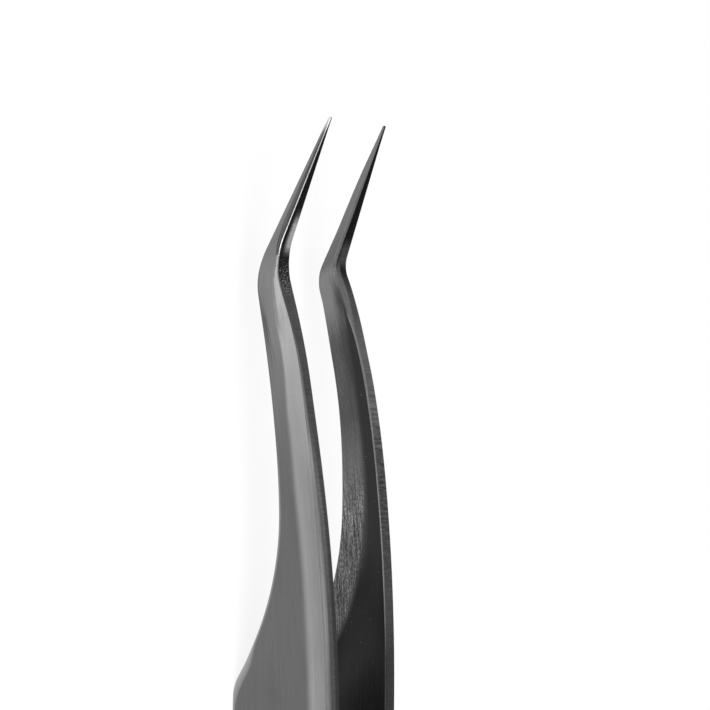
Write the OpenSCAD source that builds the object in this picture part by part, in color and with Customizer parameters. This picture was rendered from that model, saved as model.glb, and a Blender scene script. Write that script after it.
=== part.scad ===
// Angled tweezers with fine tips: two bowed spring steel arms, welded face to face at the tail.
// Units are millimetres. +X runs along the handle to the tips and +Z is the way the tips bend.
// The tweezers lie on the straight lower edges of the handle, on z = 0, as they come to rest.
// The arms mirror each other across y = 0: the left arm is at +Y and the right arm at -Y.

/* [Overall] */
// length from the rounded tail to the tips
overall_length = 120; // [112:1:140]
// free distance between the inner faces at the tips
tip_gap = 8.3; // [7:0.1:10]
// how far the tips lie below the top of the handle
tip_drop = 0.6; // [0.3:0.1:0.9]
// length over which the arms are welded together at the tail
weld_length = 13; // [8:1:18]

/* [Handle] */
// width of the strip where the handle is widest
handle_width = 9.8; // [9.6:0.1:10.2]
// width of the strip at the tail
tail_width = 6; // [5:0.5:8]
// rounding of both corners of the tail
tail_corner_radius = 2.2; // [1:0.2:2.4]
// from the tips back to the corner where the handle starts to narrow
corner_from_tips = 48.5; // [47:0.1:50]
// rounding of that corner
handle_corner_radius = 3.2; // [2:0.2:5]
// steepest slope of the flare between handle and neck
flare_angle = 35.5; // [34:0.5:36]
// hollow radius of the flare
flare_radius = 23.5; // [21:0.5:25]

/* [Neck] */
// how far the lower edge of the neck dips towards the bend, in degrees
lower_dip_angle = 12.5; // [11.5:0.5:13.5]
// radius of that dip
lower_dip_radius = 74; // [70:1:78]
// from the tips back to where the upper edge starts to curve down
shoulder_from_tips = 49.9; // [49:0.1:51]
// long gentle radius of the upper edge
shoulder_radius = 165; // [160:1:175]
// turn of the upper edge over that radius
shoulder_angle = 9.5; // [9:0.1:10]
// tighter radius of the upper edge just behind the bend
upper_dip_radius = 48; // [44:1:52]
// turn of the upper edge over that radius
upper_dip_angle = 8.5; // [8:0.1:9]

/* [Bend and tips] */
// angle of the lower edge of the tip
lower_tip_angle = 28.5; // [28:0.1:29]
// angle of the upper edge of the tip
upper_tip_angle = 22.5; // [22:0.1:23]
// outer rounding of the bend on the left arm
left_bend_radius = 5.8; // [3:0.2:7]
// inner rounding of the bend on the left arm
left_knee_radius = 5.4; // [2:0.2:6]
// outer rounding of the bend on the right arm, which was formed tighter
right_bend_radius = 3.2; // [2:0.2:7]
// inner rounding of the bend on the right arm
right_knee_radius = 2.8; // [2:0.2:6]
// width of the very tip
tip_width = 0.25; // [0.2:0.05:0.4]

/* [Bow of the arms] */
// inward turn of the long bow in the handle
handle_bow_angle = 3.5; // [3:0.1:4]
// from the tips back to where that bow starts
handle_bow_start = 97; // [93:1:99]
// from the tips back to where that bow ends
handle_bow_end = 53; // [50:1:58]
// inward turn of the neck towards the other arm
neck_bow_angle = 7.8; // [7:0.1:8.5]
// from the tips back to where the neck starts to turn in
neck_bow_start = 27; // [25:1:30]
// from the tips back to the knee, where the tips turn out again
knee_from_tips = 12.9; // [12:0.1:13.5]
// length over which the knee turns
knee_length = 2; // [1:0.5:3]
// outward turn of the tips at the knee
knee_angle = 8; // [7:0.1:8.5]
// length over which the arms lift off each other in front of the weld
weld_blend_length = 3; // [2:0.5:5]

/* [Thickness] */
// thickness of the strip behind its lower edge
strip_thickness = 1.55; // [1.5:0.05:1.7]
// thickness at the ridge between the outer flat and the upper bevel
ridge_thickness = 1.8; // [1.75:0.05:1.9]
// thickness of the very tip
tip_thickness = 0.25; // [0.2:0.05:0.4]
// thickness of the upper edge inside the bend, where the metal is squeezed up
knee_edge_thickness = 1.9; // [1.75:0.05:2]
// thickness of the upper edge at the slimmest part of the neck
neck_edge_thickness = 1.3; // [1.2:0.05:1.4]
// thickness of the upper edge along the handle
handle_edge_thickness = 1.45; // [1.35:0.05:1.5]
// thickness of the lower edge at the bend
bend_edge_thickness = 1.3; // [1.2:0.05:1.4]

/* [Ground facets] */
// width of the bevel along the upper outer edge of the handle
handle_bevel_width = 1.9; // [1.7:0.05:2.2]
// width of the same bevel at the slimmest part of the neck
neck_bevel_width = 1.25; // [1.1:0.05:1.4]
// share of the tip's width that is ground to a steeper facet
tip_bevel_share = 0.42; // [0.36:0.01:0.46]
// height of its ridge over the upper edge, near its narrow start
tip_bevel_depth = 0.06; // [0.04:0.01:0.1]
// length of the tip facet, from the tips back to its narrow start
tip_bevel_length = 11.9; // [11.5:0.1:12.1]
// length over which that facet widens from its narrow start
tip_bevel_growth = 3; // [2.4:0.1:3.4]
// depth of the facet ground on the inner face at the bend
inner_facet_depth = 0.8; // [0.6:0.05:0.9]
// depth of the same facet along the neck
neck_facet_depth = 0.28; // [0.2:0.02:0.35]
// width of that facet along the neck
neck_facet_width = 2.1; // [1.9:0.05:2.2]
// width of the broken lower outer edge along the neck
lower_bevel_width = 0.25; // [0.2:0.05:0.35]
// width of the broken lower outer edge along the handle
handle_lower_bevel_width = 0.3; // [0.25:0.05:0.4]
// depth of the broken lower outer edge along the neck
lower_bevel_depth = 0.15; // [0.1:0.01:0.2]
// depth of the broken lower outer edge along the handle
handle_lower_bevel_depth = 0.16; // [0.12:0.01:0.2]
// extra width of the crescent ground on the corner of the handle
crescent_width = 0.65; // [0.4:0.05:0.8]
// depth of the crescent
crescent_depth = 0.18; // [0.1:0.02:0.2]
// from the corner of the handle forward to the middle of the crescent
crescent_forward = 1.7; // [1.2:0.1:2]
// length of the crescent to each side of its middle
crescent_half_length = 3; // [2.4:0.1:3.4]
// fine break of the sharp edges
edge_break = 0.08; // [0.04:0.01:0.1]

/* [Hidden] */
// height of the tips above the table
tip_height = handle_width - tip_drop;
tip_x = overall_length / 2;
tail_x = -overall_length / 2;
weld_end_x = tail_x + weld_length;
corner_x = tip_x - corner_from_tips;
shoulder_x = tip_x - shoulder_from_tips;
// stations along each stretch of the arm
tail_steps = 8;
handle_steps = 34;
corner_steps = 10;
flare_steps = 20;
dip_steps = 20;
straight_steps = 3;
bend_steps = 20;
tip_steps = 22;

// a smooth step from 0 to 1
function ease(t) = let (c = min(1, max(0, t))) c * c * (3 - 2 * c);
// from a at distance u0 to b at distance u1, both measured back from the tips
function blend(u, u0, a, u1, b) = a + (b - a) * ease((u - u0) / (u1 - u0));
// the end of an arc that starts at p with heading h
function arc_end(p, h, r, turn) =
    p + sign(turn) * r * [sin(h + turn) - sin(h), cos(h) - cos(h + turn)];
// the points of that arc without its start
function arc_points(p, h, r, turn, n) = [for (i = [1:n]) arc_end(p, h, r, turn * i / n)];
function line_points(p, q, n) = [for (i = [1:n]) p + (q - p) * i / n];
// the straight piece before the bend takes up what is left, so that the tip edge ends at its height
function straight_end(p, h, r, tip_angle, end_z) =
    let (
        e = arc_end(p, h, r, tip_angle - h),
        z = e[1] + (tip_x - e[0]) * tan(tip_angle),
        len = (end_z - z) / (sin(h) - cos(h) * tan(tip_angle))
    )
    p + len * [cos(h), sin(h)];

// the lower edge: corner, flare, dip, straight, bend and tip
flare_start = arc_end([corner_x, 0], 0, handle_corner_radius, flare_angle);
dip_start = arc_end(flare_start, flare_angle, flare_radius, -flare_angle);
dip_end = arc_end(dip_start, 0, lower_dip_radius, -lower_dip_angle);
function bend_start(r) = straight_end(dip_end, -lower_dip_angle, r, lower_tip_angle, tip_height);
function bend_end(r) = arc_end(bend_start(r), -lower_dip_angle, r, lower_tip_angle + lower_dip_angle);

// the upper edge: shoulder, dip, straight, knee and tip
upper_dip_start = arc_end([shoulder_x, handle_width], 0, shoulder_radius, -shoulder_angle);
upper_heading = -shoulder_angle - upper_dip_angle;
upper_dip_end = arc_end(upper_dip_start, -shoulder_angle, upper_dip_radius, -upper_dip_angle);
function knee_start(r) =
    straight_end(upper_dip_end, upper_heading, r, upper_tip_angle, tip_height + tip_width);
function knee_end(r) = arc_end(knee_start(r), upper_heading, r, upper_tip_angle - upper_heading);

// height of the upper edge at x, from the tail to the knee: the handle narrows evenly to the tail
handle_back = shoulder_x - tail_x;
back_drop = handle_width - tail_width;
back_radius = (handle_back * handle_back + back_drop * back_drop) / (2 * back_drop);
function fall(r, d) = r - sqrt(r * r - d * d);
function upper_z(x) =
    x < shoulder_x ? handle_width - fall(back_radius, shoulder_x - x)
    : x < upper_dip_start[0] ? handle_width - fall(shoulder_radius, x - shoulder_x)
    : x < upper_dip_end[0] ? upper_dip_z(x)
    : upper_dip_end[1] + (x - upper_dip_end[0]) * tan(upper_heading);
dip_centre_x = upper_dip_start[0] - upper_dip_radius * sin(shoulder_angle);
dip_centre_z = upper_dip_start[1] - upper_dip_radius * cos(shoulder_angle);
function upper_dip_z(x) =
    dip_centre_z + sqrt(pow(upper_dip_radius, 2) - pow(x - dip_centre_x, 2));

// both edges as pairs of points, from the tail to the tip
function tail_pairs() = [
    for (i = [0:tail_steps])
        let (
            a = 90 * i / tail_steps,
            x = tail_x + tail_corner_radius * (1 - cos(a)),
            rise = tail_corner_radius * (1 - sin(a))
        )
        [[x, rise], [x, upper_z(x) - rise]]
];
function lower_run(r) = concat(
    line_points([tail_x + tail_corner_radius, 0], [corner_x, 0], handle_steps),
    arc_points([corner_x, 0], 0, handle_corner_radius, flare_angle, corner_steps),
    arc_points(flare_start, flare_angle, flare_radius, -flare_angle, flare_steps),
    arc_points(dip_start, 0, lower_dip_radius, -lower_dip_angle, dip_steps),
    line_points(dip_end, bend_start(r), straight_steps)
);
// the cross lines lean forward little by little up to the lean at the bend
function lean_at(x, x_end, lean) = lean * pow(max(0, (x - flare_start[0]) / (x_end - flare_start[0])), 2);
function run_pairs(r, k) =
    let (
        x_end = bend_start(r)[0],
        lean = knee_start(k)[0] - x_end
    )
    [for (p = lower_run(r)) let (x = p[0] + lean_at(p[0], x_end, lean)) [p, [x, upper_z(x)]]];
function bend_pairs(r, k) =
    let (
        low = arc_points(bend_start(r), -lower_dip_angle, r, lower_tip_angle + lower_dip_angle, bend_steps),
        high = arc_points(knee_start(k), upper_heading, k, upper_tip_angle - upper_heading, bend_steps)
    )
    [for (i = [0:bend_steps - 1]) [low[i], high[i]]];
function tip_pairs(r, k) =
    let (
        low = bend_end(r),
        high = knee_end(k)
    )
    [
        for (i = [1:tip_steps])
            let (s = i / tip_steps)
            [
                low + (([tip_x, tip_height]) - low) * s,
                high + (([tip_x, tip_height + tip_width]) - high) * s
            ]
    ];
function edge_pairs(r, k) =
    concat(tail_pairs(), run_pairs(r, k), bend_pairs(r, k), tip_pairs(r, k));

// the sideways bow: what a turn between x0 and x1 adds to the distance at x
function turned(x, x0, x1, angle) =
    tan(angle) * (x < x0 ? 0 : x < x1 ? pow(x - x0, 2) / (2 * (x1 - x0)) : x - (x0 + x1) / 2);
function bows(x) =
    turned(x, tip_x - handle_bow_start, tip_x - handle_bow_end, -handle_bow_angle)
    + turned(x, tip_x - neck_bow_start, tip_x - knee_from_tips, -neck_bow_angle)
    + turned(x, tip_x - knee_from_tips, tip_x - knee_from_tips + knee_length, knee_angle);
// how far the arms have opened at x, for a slope of one in one in front of the weld
function opening(x) = turned(x, weld_end_x, weld_end_x + weld_blend_length, 45);
opening_slope = (tip_gap / 2 - bows(tip_x)) / opening(tip_x);
// distance of the inner face from the middle plane
function inner_y(x) = opening_slope * opening(x) + bows(x);

// thicknesses and facets by the distance u back from the tips
bend_u = knee_from_tips;
neck_u = 20;
handle_u = 36;
edge_full_u = 30;
// where the upper bevel starts at the bend, has its neck width, widens again and has its handle width
bevel_start_u = 12.2;
bevel_grown_u = 16.7;
bevel_neck_u = 18;
bevel_full_u = 29;
// how it widens, the length over which it deepens, and its least width and depth
bevel_growth = 0.9;
bevel_start_length = 3;
least_bevel_width = 0.34;
least_bevel_depth = 0.15;
// where the broken lower edge changes from its neck size to its handle size
lower_break_u = [38, 46];
// where the inner facet widens, starts to fade and is gone, and its width before it fades
facet_spread_u = [24, 34];
facet_spread_width = 2.35;
facet_fade_u = 42;
facet_end_u = 54;
facet_flat_u = 42;
facet_start_u = 3;
tip_facet_depth = 0.1;
function upper_edge_thickness(u) =
    u < bend_u ? tip_thickness + (knee_edge_thickness - tip_thickness) * u / bend_u
    : u < neck_u ? blend(u, bend_u, knee_edge_thickness, neck_u, neck_edge_thickness)
    : blend(u, neck_u, neck_edge_thickness, edge_full_u, handle_edge_thickness);
function lower_edge_thickness(u) =
    u < bend_u ? tip_thickness + (bend_edge_thickness - tip_thickness) * u / bend_u
    : blend(u, bend_u, bend_edge_thickness, handle_u, strip_thickness - lower_break_depth(u));
// the bevel along the upper outer edge, from its least width at the bend to its full width
function bevel_width(u) =
    u < bevel_start_u ? least_bevel_width
    : u < bevel_neck_u ? least_bevel_width + (neck_bevel_width - least_bevel_width)
        * pow(min(1, (u - bevel_start_u) / (bevel_grown_u - bevel_start_u)), bevel_growth)
    : blend(u, bevel_neck_u, neck_bevel_width, bevel_full_u, handle_bevel_width);
function bevel_depth(u) =
    max(least_bevel_depth, ridge_thickness - upper_edge_thickness(u))
    * ease((u - bevel_start_u) / bevel_start_length);
// the steep facet of the tip, from 0 at its narrow start to 1 where it has its full share
function tip_bevel(u) = min(1, max(0, (tip_bevel_length - u) / tip_bevel_growth));
// the broken lower outer edge with its crescent on the corner of the handle
function crescent(u) =
    ease(1 - abs(u - corner_from_tips + crescent_forward) / crescent_half_length);
function along_break(u, neck, handle) =
    min(1, u / bend_u) * blend(u, lower_break_u[0], neck, lower_break_u[1], handle);
function lower_break_width(u) =
    along_break(u, lower_bevel_width, handle_lower_bevel_width) + crescent_width * crescent(u) + 0.01;
function lower_break_depth(u) =
    along_break(u, lower_bevel_depth, handle_lower_bevel_depth) + crescent_depth * crescent(u);
// the facet ground on the inner face along the lower edge: all of it at the bend and the tip
function facet_width(u, w) =
    let (full = w - 2 * edge_break)
    u < bend_u + 1 ? full
    : u < neck_u ? min(full, blend(u, bend_u + 1, full, neck_u, neck_facet_width))
    : min(full, spread_facet_width(u) * facet_left(u) + edge_break * (1 - facet_left(u)));
function spread_facet_width(u) =
    blend(u, facet_spread_u[0], neck_facet_width, facet_spread_u[1], facet_spread_width);
// what is left of the facet's width where it fades out on the handle
function facet_left(u) = 1 - ease((u - facet_fade_u) / (facet_end_u - facet_fade_u));
function facet_depth(u) =
    edge_break + (
        u < bend_u ? tip_facet_depth * u / bend_u
            + (inner_facet_depth - tip_facet_depth) * ease((u - facet_start_u) / (bend_u - facet_start_u))
        : u < neck_u ? blend(u, bend_u, inner_facet_depth, neck_u, neck_facet_depth)
        : neck_facet_depth * (1 - ease((u - neck_u) / (facet_flat_u - neck_u)))
    );

// the cross section: distance across the strip from its lower edge, and height above the inner face
function section(u_low, u_high, w) =
    let (
        e = min(edge_break, w / 6),
        te = upper_edge_thickness(u_high),
        tl = lower_edge_thickness(u_low),
        lw = min(lower_break_width(u_low), w / 4),
        ld = lower_break_depth(u_low),
        tip = tip_bevel((u_low + u_high) / 2),
        tip_depth = tip_bevel_depth * min(1, u_high / tip_bevel_length),
        bw = (1 - tip) * min(bevel_width(u_high), w / 2) + tip * w * tip_bevel_share,
        bd = (1 - tip) * bevel_depth(u_high) + tip * tip_depth,
        fw = min(facet_width(u_low, w), w - 2 * e),
        fd = min(facet_depth(u_low), tl * 0.6)
    )
    [
        [w - e, 0],
        [w, e],
        [w, te - e],
        [w - e, te],
        [w - max(bw, 2 * e), te + bd],
        [lw, tl + ld],
        [0, tl],
        [0, fd],
        [fw, 0]
    ];

// places one cross section between the paired points of the lower and the upper edge
function placed(pair) =
    let (
        low = pair[0],
        high = pair[1],
        w = norm(high - low),
        dir = (high - low) / w
    )
    [
        for (s = section(tip_x - low[0], tip_x - high[0], w))
            let (p = low + dir * s[0])
            [p[0], inner_y(p[0]) + s[1], p[1]]
    ];

// a closed skin over all cross sections
module skin(rings) {
    n = len(rings[0]);
    m = len(rings);
    points = [for (ring = rings) for (p = ring) p];
    sides = [
        for (i = [0:m - 2])
            for (j = [0:n - 1])
                let (
                    a = i * n + j,
                    b = i * n + (j + 1) % n,
                    c = (i + 1) * n + (j + 1) % n,
                    d = (i + 1) * n + j
                )
                for (f = [[a, b, c], [a, c, d]]) f
    ];
    tail_cap = [for (j = [n - 1:-1:0]) j];
    tip_cap = [for (j = [0:n - 1]) (m - 1) * n + j];
    polyhedron(points = points, faces = concat(sides, [tail_cap], [tip_cap]), convexity = 6);
}

module arm(bend_radius, knee_radius) {
    skin([for (pair = edge_pairs(bend_radius, knee_radius)) placed(pair)]);
}

module left_arm() {
    color([0.42, 0.43, 0.44]) arm(left_bend_radius, left_knee_radius);
}

module right_arm() {
    color([0.38, 0.39, 0.40]) mirror([0, 1, 0]) arm(right_bend_radius, right_knee_radius);
}

left_arm();
right_arm();
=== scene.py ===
import math

import bpy
from mathutils import Matrix, Vector


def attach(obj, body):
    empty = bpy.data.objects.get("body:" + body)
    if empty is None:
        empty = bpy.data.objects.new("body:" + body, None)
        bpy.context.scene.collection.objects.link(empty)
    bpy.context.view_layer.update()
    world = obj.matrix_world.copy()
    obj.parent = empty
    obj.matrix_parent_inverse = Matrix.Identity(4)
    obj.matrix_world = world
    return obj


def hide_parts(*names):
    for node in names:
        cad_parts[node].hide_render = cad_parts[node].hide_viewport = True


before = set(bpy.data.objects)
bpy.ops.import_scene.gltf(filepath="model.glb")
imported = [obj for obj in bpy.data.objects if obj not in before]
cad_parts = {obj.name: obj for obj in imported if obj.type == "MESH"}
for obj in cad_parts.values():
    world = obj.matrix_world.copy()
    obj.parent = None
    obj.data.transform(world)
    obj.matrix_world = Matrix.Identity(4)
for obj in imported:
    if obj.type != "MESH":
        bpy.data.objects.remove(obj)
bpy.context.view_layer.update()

# ---------------------------------------------------------------------------
# The named sizes of part.scad, in millimetres and degrees. u is a distance
# measured back from the tips, s runs across the strip from its lower edge,
# and h is the height above the inner face.
# ---------------------------------------------------------------------------
OVERALL_LENGTH = 120.0
TIP_GAP = 8.3
WELD_LENGTH = 13.0
HANDLE_WIDTH = 9.8
TIP_DROP = 0.6
TAIL_WIDTH = 6.0
TAIL_CORNER_RADIUS = 2.2
CORNER_FROM_TIPS = 48.5
HANDLE_CORNER_RADIUS = 3.2
FLARE_ANGLE = 35.5
FLARE_RADIUS = 23.5
LOWER_DIP_ANGLE = 12.5
LOWER_DIP_RADIUS = 74.0
SHOULDER_FROM_TIPS = 49.9
SHOULDER_RADIUS = 165.0
SHOULDER_ANGLE = 9.5
UPPER_DIP_RADIUS = 48.0
UPPER_DIP_ANGLE = 8.5
LOWER_TIP_ANGLE = 28.5
UPPER_TIP_ANGLE = 22.5
LEFT_BEND_RADIUS = 5.8
LEFT_KNEE_RADIUS = 5.4
RIGHT_BEND_RADIUS = 3.2
RIGHT_KNEE_RADIUS = 2.8
TIP_WIDTH = 0.25
HANDLE_BOW_ANGLE = 3.5
HANDLE_BOW_START = 97.0
HANDLE_BOW_END = 53.0
NECK_BOW_ANGLE = 7.8
NECK_BOW_START = 27.0
KNEE_FROM_TIPS = 12.9
KNEE_LENGTH = 2.0
KNEE_ANGLE = 8.0
WELD_BLEND_LENGTH = 3.0
STRIP_THICKNESS = 1.55
RIDGE_THICKNESS = 1.8
TIP_THICKNESS = 0.25
KNEE_EDGE_THICKNESS = 1.9
NECK_EDGE_THICKNESS = 1.3
HANDLE_EDGE_THICKNESS = 1.45
BEND_EDGE_THICKNESS = 1.3
HANDLE_BEVEL_WIDTH = 1.9
NECK_BEVEL_WIDTH = 1.25
TIP_BEVEL_SHARE = 0.42
TIP_BEVEL_DEPTH = 0.06
TIP_BEVEL_LENGTH = 11.9
TIP_BEVEL_GROWTH = 3.0
INNER_FACET_DEPTH = 0.8
NECK_FACET_DEPTH = 0.28
NECK_FACET_WIDTH = 2.1
LOWER_BEVEL_WIDTH = 0.25
HANDLE_LOWER_BEVEL_WIDTH = 0.3
LOWER_BEVEL_DEPTH = 0.15
HANDLE_LOWER_BEVEL_DEPTH = 0.16
CRESCENT_WIDTH = 0.65
CRESCENT_DEPTH = 0.18
CRESCENT_FORWARD = 1.7
CRESCENT_HALF_LENGTH = 3.0
EDGE_BREAK = 0.08

TIP_HEIGHT = HANDLE_WIDTH - TIP_DROP
TIP_X = OVERALL_LENGTH / 2
TAIL_X = -OVERALL_LENGTH / 2
WELD_END_X = TAIL_X + WELD_LENGTH
CORNER_X = TIP_X - CORNER_FROM_TIPS
SHOULDER_X = TIP_X - SHOULDER_FROM_TIPS
BEND_U = KNEE_FROM_TIPS
NECK_U = 20.0
HANDLE_U = 36.0
EDGE_FULL_U = 30.0
BEVEL_START_U = 12.2
BEVEL_GROWN_U = 16.7
BEVEL_NECK_U = 18.0
BEVEL_FULL_U = 29.0
BEVEL_GROWTH = 0.9
BEVEL_START_LENGTH = 3.0
LEAST_BEVEL_WIDTH = 0.34
LEAST_BEVEL_DEPTH = 0.15
LEAST_BREAK_WIDTH = 0.01
LOWER_BREAK_U = (38.0, 46.0)
FACET_SPREAD_U = (24.0, 34.0)
FACET_SPREAD_WIDTH = 2.35
FACET_FADE_U = 42.0
FACET_END_U = 54.0
FACET_FLAT_U = 42.0
FACET_START_U = 3.0
TIP_FACET_DEPTH = 0.1

# stations along each stretch of an arm
TAIL_STEPS = 18
HANDLE_STEPS = 120
CORNER_STEPS = 26
FLARE_STEPS = 60
DIP_STEPS = 80
STRAIGHT_STEPS = 14
BEND_STEPS = 44
TIP_STEPS = 110

# the rounded rim of the tail and the round nose of the tip
RIM_STEPS = 3
TAIL_ROUNDING = 0.08
HALF_TAIL_THICKNESS = 0.8
NOSE_STEPS = 4
NOSE_LENGTH = 0.1
NOSE_TURN = 88.0

# how far to each side of a point the slope of the inner face is measured
SLOPE_STEP = 0.01

# Blender works in metres, this script in millimetres
MM = 0.001

# how light each ground face is, as a base colour, with painted light and shade in it:
# faces and corner lines that catch a lamp are painted lighter, and faces in shade darker.
# First comes the tip, where TIP_END, a painted highlight, is the very end of the left arm
TIP_END = 0.75
TIP_END_LENGTH = 1.6
TIP_FLAT = 0.195
TIP_STRIP = 0.085
TIP_EDGE = 0.065
TIP_LINE = 0.26
TIP_FACET = 0.185
SMOOTH_FACET = 0.12

# the bend and its knee
BEND_FLAT = 0.235
BEND_BEVEL = 0.5
BEFORE_BEND_LINE = 0.44
BEND_LINE = 0.8
BEND_BREAK = 0.09
BEND_FACET = 0.215
KNEE_EDGE = 0.035

# the neck
NECK_BEVEL = 0.36
NECK_LINE = 0.3
NECK_EDGE = 0.18
NECK_BREAK = 0.12
NECK_FACET = 0.095
WORKED_FACET = 0.14
INNER_FLAT = 0.038
INNER_LINE = 0.5
MIDDLE_BEVEL = 0.315
MIDDLE_LINE = 0.45

# the handle
HANDLE_FLAT = 0.15
HANDLE_BEVEL = 0.29
HANDLE_LINE = 0.26
REAR_LINE = 0.14
HANDLE_EDGE = 0.13
HANDLE_BREAK = 0.25
CRESCENT_BEVEL = 0.3
HANDLE_INNER = 0.062
HANDLE_INNER_LINE = 0.045

# the patch of painted reflection on the inner edge in front of the knee of the left arm,
# which is also made rougher
PATCH_START = 7.7
PATCH_END = 11.1
PATCH_REFLECTION = 0.85

# the right arm, whose edge beside the bend has its own painted light and shade: a painted
# light patch, the painted glint past the knee, corner lines painted dark or light, an edge
# painted lighter and a painted light further back
FAR_PATCH_MIDDLE = 11.1
FAR_PATCH_LEVEL = 0.42
FAR_BEND_LINE = 0.075
FAR_KNEE_LINE = 0.44
FAR_DARK_LINE = 0.2
FAR_GLINT_START = 0.26
FAR_GLINT = 0.45
FAR_EDGE = 0.305
FAR_REAR_LIGHT = 0.08


def sin_d(a):
    return math.sin(math.radians(a))


def cos_d(a):
    return math.cos(math.radians(a))


def tan_d(a):
    return math.tan(math.radians(a))


def ease(t):
    """From 0 to 1 as t does, with a smooth start and end."""
    c = min(1.0, max(0.0, t))
    return c * c * (3 - 2 * c)


def blend(u, u0, a, u1, b):
    """a up to u0 and b from u1 on, with an easy change between them."""
    return a + (b - a) * ease((u - u0) / (u1 - u0))


def bump(u, middle, half):
    """1 at the middle, easing to 0 at half to each side of it."""
    return ease(1 - abs(u - middle) / half)


# ---------------------------------------------------------------------------
# The two edges of the strip, seen from the side
# ---------------------------------------------------------------------------
def arc_end(p, h, r, turn):
    side = 1 if turn > 0 else -1
    return (
        p[0] + side * r * (sin_d(h + turn) - sin_d(h)),
        p[1] + side * r * (cos_d(h) - cos_d(h + turn)),
    )


def arc_points(p, h, r, turn, n):
    return [arc_end(p, h, r, turn * i / n) for i in range(1, n + 1)]


def line_points(p, q, n):
    return [
        (p[0] + (q[0] - p[0]) * i / n, p[1] + (q[1] - p[1]) * i / n)
        for i in range(1, n + 1)
    ]


def straight_end(p, h, r, tip_angle, end_z):
    e = arc_end(p, h, r, tip_angle - h)
    z = e[1] + (TIP_X - e[0]) * tan_d(tip_angle)
    length = (end_z - z) / (sin_d(h) - cos_d(h) * tan_d(tip_angle))
    return (p[0] + length * cos_d(h), p[1] + length * sin_d(h))


CORNER = (CORNER_X, 0.0)
FLARE_START = arc_end(CORNER, 0, HANDLE_CORNER_RADIUS, FLARE_ANGLE)
DIP_START = arc_end(FLARE_START, FLARE_ANGLE, FLARE_RADIUS, -FLARE_ANGLE)
DIP_END = arc_end(DIP_START, 0, LOWER_DIP_RADIUS, -LOWER_DIP_ANGLE)
UPPER_DIP_START = arc_end(
    (SHOULDER_X, HANDLE_WIDTH), 0, SHOULDER_RADIUS, -SHOULDER_ANGLE
)
UPPER_HEADING = -SHOULDER_ANGLE - UPPER_DIP_ANGLE
UPPER_DIP_END = arc_end(
    UPPER_DIP_START, -SHOULDER_ANGLE, UPPER_DIP_RADIUS, -UPPER_DIP_ANGLE
)


def bend_start(r):
    return straight_end(DIP_END, -LOWER_DIP_ANGLE, r, LOWER_TIP_ANGLE, TIP_HEIGHT)


def knee_start(r):
    return straight_end(
        UPPER_DIP_END, UPPER_HEADING, r, UPPER_TIP_ANGLE, TIP_HEIGHT + TIP_WIDTH
    )


HANDLE_BACK = SHOULDER_X - TAIL_X
BACK_DROP = HANDLE_WIDTH - TAIL_WIDTH
BACK_RADIUS = (HANDLE_BACK**2 + BACK_DROP**2) / (2 * BACK_DROP)


def fall(r, d):
    return r - math.sqrt(r * r - d * d)


def upper_z(x):
    if x < SHOULDER_X:
        return HANDLE_WIDTH - fall(BACK_RADIUS, SHOULDER_X - x)
    if x < UPPER_DIP_START[0]:
        return HANDLE_WIDTH - fall(SHOULDER_RADIUS, x - SHOULDER_X)
    if x < UPPER_DIP_END[0]:
        cx = UPPER_DIP_START[0] - UPPER_DIP_RADIUS * sin_d(SHOULDER_ANGLE)
        cz = UPPER_DIP_START[1] - UPPER_DIP_RADIUS * cos_d(SHOULDER_ANGLE)
        return cz + math.sqrt(UPPER_DIP_RADIUS**2 - (x - cx) ** 2)
    return UPPER_DIP_END[1] + (x - UPPER_DIP_END[0]) * tan_d(UPPER_HEADING)


def tail_pairs():
    pairs = []
    first = math.degrees(math.acos(1 - TAIL_ROUNDING / TAIL_CORNER_RADIUS))
    for i in range(TAIL_STEPS + 1):
        a = first + (90.0 - first) * i / TAIL_STEPS
        x = TAIL_X + TAIL_CORNER_RADIUS * (1 - cos_d(a))
        rise = TAIL_CORNER_RADIUS * (1 - sin_d(a))
        pairs.append(((x, rise), (x, upper_z(x) - rise)))
    return pairs


def run_pairs(bend_r, knee_r):
    low = line_points((TAIL_X + TAIL_CORNER_RADIUS, 0.0), CORNER, HANDLE_STEPS)
    low += arc_points(CORNER, 0, HANDLE_CORNER_RADIUS, FLARE_ANGLE, CORNER_STEPS)
    low += arc_points(FLARE_START, FLARE_ANGLE, FLARE_RADIUS, -FLARE_ANGLE, FLARE_STEPS)
    low += arc_points(DIP_START, 0, LOWER_DIP_RADIUS, -LOWER_DIP_ANGLE, DIP_STEPS)
    low += line_points(DIP_END, bend_start(bend_r), STRAIGHT_STEPS)
    x_end = bend_start(bend_r)[0]
    lean = knee_start(knee_r)[0] - x_end
    pairs = []
    for p in low:
        share = max(0.0, (p[0] - FLARE_START[0]) / (x_end - FLARE_START[0]))
        x = p[0] + lean * share**2
        pairs.append((p, (x, upper_z(x))))
    return pairs


def bend_pairs(bend_r, knee_r):
    low = arc_points(
        bend_start(bend_r),
        -LOWER_DIP_ANGLE,
        bend_r,
        LOWER_TIP_ANGLE + LOWER_DIP_ANGLE,
        BEND_STEPS,
    )
    high = arc_points(
        knee_start(knee_r),
        UPPER_HEADING,
        knee_r,
        UPPER_TIP_ANGLE - UPPER_HEADING,
        BEND_STEPS,
    )
    return list(zip(low, high))


def tip_pairs(bend_r, knee_r):
    """From the bend to just before the very tip, where the nose starts."""
    low, high = bend_pairs(bend_r, knee_r)[-1]
    end = 1 - NOSE_LENGTH / (TIP_X - (low[0] + high[0]) / 2)
    pairs = []
    for i in range(1, TIP_STEPS + 1):
        share = end * i / TIP_STEPS
        pairs.append(
            (
                (
                    low[0] + (TIP_X - low[0]) * share,
                    low[1] + (TIP_HEIGHT - low[1]) * share,
                ),
                (
                    high[0] + (TIP_X - high[0]) * share,
                    high[1] + (TIP_HEIGHT + TIP_WIDTH - high[1]) * share,
                ),
            )
        )
    return pairs


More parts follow.
